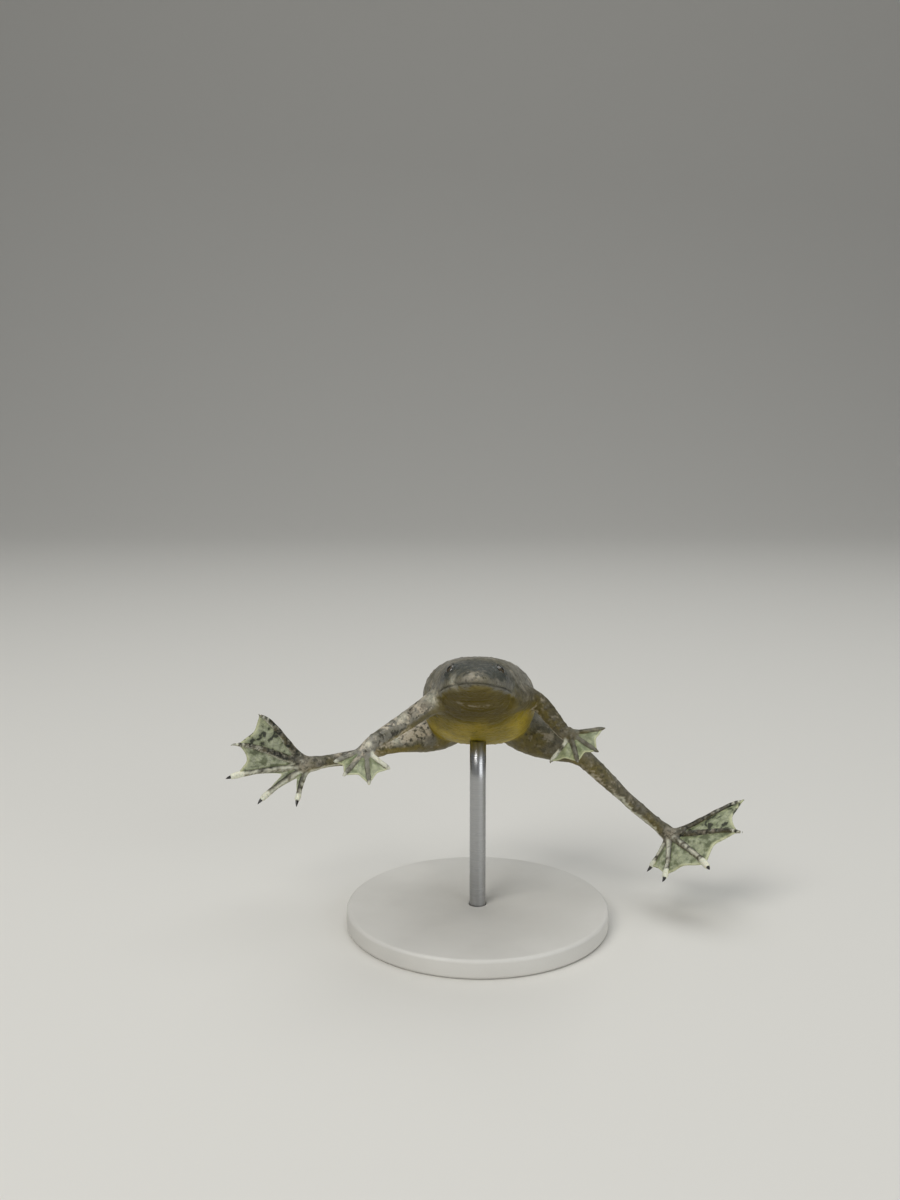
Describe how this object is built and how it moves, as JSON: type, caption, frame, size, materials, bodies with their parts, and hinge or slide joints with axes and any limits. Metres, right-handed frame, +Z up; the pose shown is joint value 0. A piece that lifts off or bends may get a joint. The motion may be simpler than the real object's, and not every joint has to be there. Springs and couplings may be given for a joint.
{
  "type": "african dwarf frog model",
  "caption": "Life-size still model of a small webbed-footed aquatic frog hovering held up by a plain round stand with a rod.",
  "frame": {"origin": "centre of the stand base's underside, straight below the middle of the belly", "axes": "+Z up from the floor, -Y the way the frog faces, +X towards the frog's left side"},
  "size_m": [0.0731, 0.036, 0.0387],
  "materials": {
    "mottled_skin": "wet satin, dark mottles on grey-brown",
    "belly_skin": "wet satin, olive-brown",
    "eye": "wet gloss",
    "claw": "smooth black horn",
    "stand_base": "matt, pale warm grey",
    "stand_rod": "brushed"
  },
  "bodies": {
    "root": {"head": "mottled_skin", "torso": "belly_skin", "eye_left": "eye", "eye_right": "eye", "upper_arm_left": "mottled_skin", "upper_arm_right": "mottled_skin", "forearm_left": "mottled_skin", "forearm_right": "mottled_skin", "hand_left": "mottled_skin", "hand_right": "mottled_skin", "thigh_left": "mottled_skin", "thigh_right": "mottled_skin", "shank_left": "mottled_skin", "shank_right": "mottled_skin", "tarsus_left": "mottled_skin", "tarsus_right": "mottled_skin", "foot_left": "mottled_skin", "foot_right": "mottled_skin", "claw_left_1": "claw", "claw_left_2": "claw", "claw_left_3": "claw", "claw_right_1": "claw", "claw_right_2": "claw", "claw_right_3": "claw", "stand_base": "stand_base", "stand_rod": "stand_rod"}
  },
  "joints": []
}
